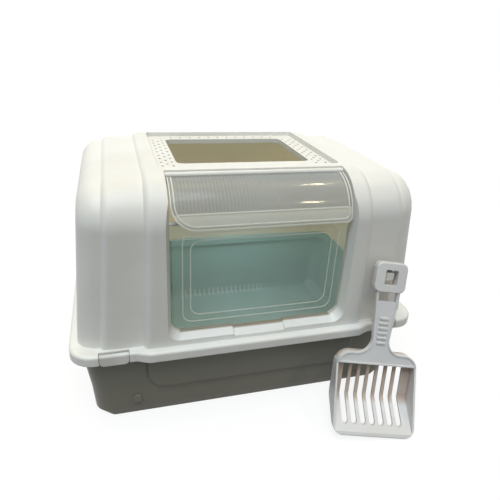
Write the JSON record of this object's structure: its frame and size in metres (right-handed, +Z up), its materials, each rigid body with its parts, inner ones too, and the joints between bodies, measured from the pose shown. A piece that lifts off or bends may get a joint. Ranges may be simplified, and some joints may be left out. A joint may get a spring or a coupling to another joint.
{
  "type": "hooded cat litter box",
  "caption": "Hooded cat litter box: open tray, stepped lift-off hood with flip-up visor and clear swing door, perforated top exit, flange clips and a hanging slotted scoop.",
  "frame": {"origin": "centre of the tray's underside, on the floor", "axes": "+X to the right seen from the front, -Y to the front, +Z up"},
  "size_m": [0.5, 0.4624, 0.34],
  "materials": {
    "hood_plastic": "white moulded plastic, satin sheen",
    "panel_plastic": "white moulded plastic, satin sheen",
    "tray_plastic": "sage green moulded plastic, satin sheen",
    "visor_clear": "clear smoke-tinted plastic",
    "door_clear": "clear plastic",
    "clip_plastic": "pale grey moulded plastic",
    "pin_plastic": "white plastic pin",
    "scoop_plastic": "pale grey-white moulded plastic"
  },
  "bodies": {
    "tray": {"tray": "tray_plastic"},
    "hood": {"hood_shell": "hood_plastic", "top_panel": "panel_plastic", "clip_pin_front_left": "pin_plastic", "clip_pin_front_right": "pin_plastic", "clip_pin_rear_left": "pin_plastic", "clip_pin_rear_right": "pin_plastic"},
    "visor": {"visor": "visor_clear", "visor_bar": "hood_plastic", "visor_pin_left": "pin_plastic", "visor_pin_right": "pin_plastic"},
    "door": {"door": "door_clear", "door_pin_left": "pin_plastic", "door_pin_right": "pin_plastic"},
    "clip_front_left": {"clip_front_left": "clip_plastic"},
    "clip_front_right": {"clip_front_right": "clip_plastic"},
    "clip_rear_left": {"clip_rear_left": "clip_plastic"},
    "clip_rear_right": {"clip_rear_right": "clip_plastic"},
    "scoop": {"scoop": "scoop_plastic"}
  },
  "joints": [
    {"name": "hood_lift", "type": "slide", "parent": "tray", "child": "hood", "axis": [0, 0, 1], "range_m": [0, 0.25]},
    {"name": "visor_flip", "type": "hinge", "parent": "hood", "child": "visor", "pos_m": [0, -0.1135, 0.33517], "axis": [-1, 0, 0], "range_deg": [0, 105]},
    {"name": "door_swing", "type": "hinge", "parent": "hood", "child": "door", "pos_m": [0, -0.15609, 0.288], "axis": [1, 0, 0], "range_deg": [0, 75]},
    {"name": "clip_front_left_swing", "type": "hinge", "parent": "hood", "child": "clip_front_left", "pos_m": [-0.194, -0.1665, 0.1146], "axis": [-1, 0, 0], "range_deg": [0, 60]},
    {"name": "clip_front_right_swing", "type": "hinge", "parent": "hood", "child": "clip_front_right", "pos_m": [0.194, -0.1665, 0.1146], "axis": [-1, 0, 0], "range_deg": [0, 60]},
    {"name": "clip_rear_left_swing", "type": "hinge", "parent": "hood", "child": "clip_rear_left", "pos_m": [-0.194, 0.1665, 0.1146], "axis": [1, 0, 0], "range_deg": [0, 60]},
    {"name": "clip_rear_right_swing", "type": "hinge", "parent": "hood", "child": "clip_rear_right", "pos_m": [0.194, 0.1665, 0.1146], "axis": [1, 0, 0], "range_deg": [0, 60]},
    {"name": "scoop_off", "type": "slide", "parent": "hood", "child": "scoop", "axis": [0, -1, 0], "range_m": [0, 0.08]}
  ]
}
